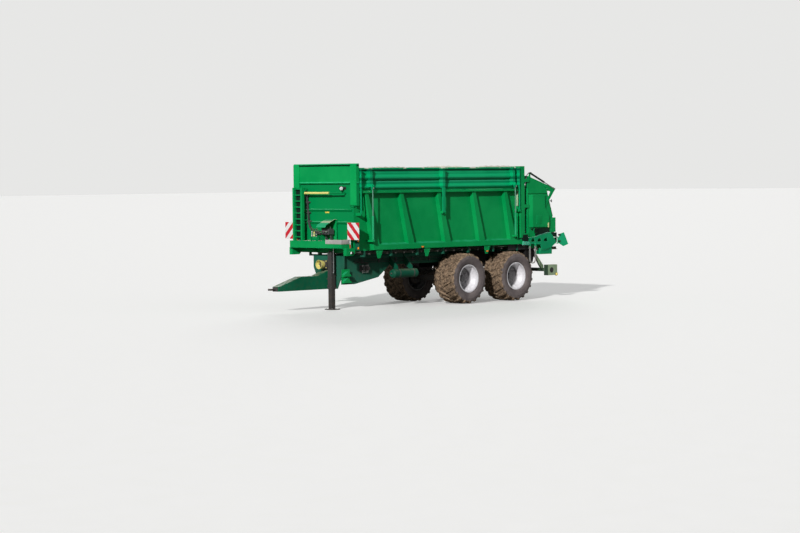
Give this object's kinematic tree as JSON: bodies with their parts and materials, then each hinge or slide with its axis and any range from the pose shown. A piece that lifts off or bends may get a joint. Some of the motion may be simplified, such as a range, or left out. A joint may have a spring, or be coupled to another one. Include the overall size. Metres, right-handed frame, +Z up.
{
  "type": "lime spreader",
  "caption": "Towed tandem-axle lime and universal spreader: trough body with scraper floor, fold-down side boards, sluice gate, two beaters in a rear housing and two spreading discs.",
  "frame": {"origin": "on the ground under the middle of the whole machine's box", "axes": "+X towards the drawbar, +Y to the machine's left, +Z up"},
  "size_m": [10.74, 3, 4],
  "materials": {
    "green_paint": "satin",
    "dark_steel": "satin",
    "worn_steel": "worn",
    "grey_paint": "satin",
    "warning_board": "reflective",
    "silver_rim": "satin",
    "tyre_rubber": "matte",
    "hose_rubber": "matte",
    "chrome_rod": "polished"
  },
  "bodies": {
    "carrier": {"chassis_frame": "green_paint", "cross_members": "green_paint", "floor_bearers": "green_paint", "drawbar": "green_paint", "coupling_eye": "dark_steel", "body_floor": "green_paint", "floor_chain": "worn_steel", "front_wall": "green_paint", "side_wall_left": "green_paint", "side_wall_right": "green_paint", "rear_frame": "green_paint", "front_platform": "green_paint", "ladder": "green_paint", "valve_hood": "green_paint", "valve_block": "dark_steel", "supply_hose_1": "hose_rubber", "supply_hose_2": "hose_rubber", "supply_hose_3": "hose_rubber", "table_hose_1": "hose_rubber", "table_hose_2": "hose_rubber", "input_gearbox": "dark_steel", "jack_tube": "grey_paint", "warning_plate_left": "warning_board", "warning_plate_right": "warning_board", "axle_front": "dark_steel", "axle_rear": "dark_steel", "bogie_springs": "dark_steel", "air_tank": "green_paint", "wheel_chocks": "green_paint", "spreader_housing": "green_paint", "disc_table": "green_paint", "light_bar": "green_paint"},
    "wheel_front_left": {"rim_front_left": "silver_rim", "tyre_front_left": "tyre_rubber"},
    "wheel_front_right": {"rim_front_right": "silver_rim", "tyre_front_right": "tyre_rubber"},
    "wheel_rear_left": {"rim_rear_left": "silver_rim", "tyre_rear_left": "tyre_rubber"},
    "wheel_rear_right": {"rim_rear_right": "silver_rim", "tyre_rear_right": "tyre_rubber"},
    "board_left": {"side_board_left": "green_paint"},
    "fold_barrel_body_left": {"fold_barrels_left": "grey_paint"},
    "fold_rod_body_left": {"fold_rods_left": "chrome_rod"},
    "board_right": {"side_board_right": "green_paint"},
    "fold_barrel_body_right": {"fold_barrels_right": "grey_paint"},
    "fold_rod_body_right": {"fold_rods_right": "chrome_rod"},
    "gate": {"sluice_gate": "green_paint"},
    "jack": {"jack_leg": "grey_paint"},
    "flap": {"rear_flap": "green_paint"},
    "flap_barrel_body": {"flap_barrels": "grey_paint"},
    "flap_rod_body": {"flap_rods": "chrome_rod"},
    "beater_body_lower": {"beater_lower": "green_paint"},
    "beater_body_upper": {"beater_upper": "green_paint"},
    "disc_body_left": {"disc_left": "worn_steel"},
    "wing_left": {"limiter_wing_left": "green_paint"},
    "disc_body_right": {"disc_right": "worn_steel"},
    "wing_right": {"limiter_wing_right": "green_paint"},
    "input_shaft": {"input_stub": "chrome_rod"}
  },
  "joints": [
    {"name": "wheel_front_left_spin", "type": "hinge", "parent": "carrier", "child": "wheel_front_left", "pos_m": [-0.96, 0, 0.72], "axis": [0, 1, 0], "continuous": true},
    {"name": "wheel_front_right_spin", "type": "hinge", "parent": "carrier", "child": "wheel_front_right", "pos_m": [-0.96, 0, 0.72], "axis": [0, 1, 0], "continuous": true},
    {"name": "wheel_rear_left_spin", "type": "hinge", "parent": "carrier", "child": "wheel_rear_left", "pos_m": [-2.94, 0, 0.72], "axis": [0, 1, 0], "continuous": true},
    {"name": "wheel_rear_right_spin", "type": "hinge", "parent": "carrier", "child": "wheel_rear_right", "pos_m": [-2.94, 0, 0.72], "axis": [0, 1, 0], "continuous": true},
    {"name": "board_fold_left", "type": "hinge", "parent": "carrier", "child": "board_left", "pos_m": [0, 1.29, 2.625], "axis": [-1, 0, 0], "range_deg": [0, 80]},
    {"name": "fold_barrel_swing_left", "type": "hinge", "parent": "carrier", "child": "fold_barrel_body_left", "pos_m": [0, 1.345, 1.89], "axis": [-1, 0, 0], "range_deg": [0, 39.38]},
    {"name": "fold_rod_slide_left", "type": "slide", "parent": "fold_barrel_body_left", "child": "fold_rod_body_left", "axis": [0, 0, 1], "range_m": [-0.4087, 0]},
    {"name": "board_fold_right", "type": "hinge", "parent": "carrier", "child": "board_right", "pos_m": [0, -1.29, 2.625], "axis": [1, 0, 0], "range_deg": [0, 80]},
    {"name": "fold_barrel_swing_right", "type": "hinge", "parent": "carrier", "child": "fold_barrel_body_right", "pos_m": [0, -1.345, 1.89], "axis": [1, 0, 0], "range_deg": [0, 39.38]},
    {"name": "fold_rod_slide_right", "type": "slide", "parent": "fold_barrel_body_right", "child": "fold_rod_body_right", "axis": [0, 0, 1], "range_m": [-0.4087, 0]},
    {"name": "gate_lift", "type": "slide", "parent": "carrier", "child": "gate", "axis": [0, 0, 1], "range_m": [0, 1.25]},
    {"name": "jack_slide", "type": "slide", "parent": "carrier", "child": "jack", "axis": [0, 0, 1], "range_m": [0, 0.48]},
    {"name": "flap_open", "type": "hinge", "parent": "carrier", "child": "flap", "pos_m": [-4.375, 0, 3.325], "axis": [0, 1, 0], "range_deg": [0, 70]},
    {"name": "flap_barrel_swing", "type": "hinge", "parent": "carrier", "child": "flap_barrel_body", "pos_m": [-3.71, 0, 3.69], "axis": [0, 1, 0], "range_deg": [0, 22.07]},
    {"name": "flap_rod_slide", "type": "slide", "parent": "flap_barrel_body", "child": "flap_rod_body", "axis": [-0.9129, 0, -0.4082], "range_m": [-0.2558, 0]},
    {"name": "beater_spin_lower", "type": "hinge", "parent": "carrier", "child": "beater_body_lower", "pos_m": [-3.94, 0, 2.01], "axis": [0, 1, 0], "continuous": true},
    {"name": "beater_spin_upper", "type": "hinge", "parent": "carrier", "child": "beater_body_upper", "pos_m": [-3.94, 0, 2.73], "axis": [0, 1, 0], "continuous": true},
    {"name": "disc_spin_left", "type": "hinge", "parent": "carrier", "child": "disc_body_left", "pos_m": [-4.83, 0.585, 1.44], "axis": [0, 0, 1], "continuous": true},
    {"name": "wing_swing_left", "type": "hinge", "parent": "carrier", "child": "wing_left", "pos_m": [-4.875, 1.276, 1.7], "axis": [0, 0, -1], "range_deg": [0, 60]},
    {"name": "disc_spin_right", "type": "hinge", "parent": "carrier", "child": "disc_body_right", "pos_m": [-4.83, -0.585, 1.44], "axis": [0, 0, 1], "continuous": true},
    {"name": "wing_swing_right", "type": "hinge", "parent": "carrier", "child": "wing_right", "pos_m": [-4.875, -1.276, 1.7], "axis": [0, 0, 1], "range_deg": [0, 60]},
    {"name": "input_spin", "type": "hinge", "parent": "carrier", "child": "input_shaft", "pos_m": [3.45, 0, 1.24], "axis": [1, 0, 0], "continuous": true}
  ],
  "couplings": [
    {"joint": "fold_barrel_swing_left", "follows": "board_fold_left", "ratio": 0.47971},
    {"joint": "fold_rod_slide_left", "follows": "board_fold_left", "m_per_rad": -0.28912},
    {"joint": "fold_barrel_swing_right", "follows": "board_fold_right", "ratio": 0.47971},
    {"joint": "fold_rod_slide_right", "follows": "board_fold_right", "m_per_rad": -0.28912},
    {"joint": "flap_barrel_swing", "follows": "flap_open", "ratio": 0.30099},
    {"joint": "flap_rod_slide", "follows": "flap_open", "m_per_rad": -0.20525}
  ]
}
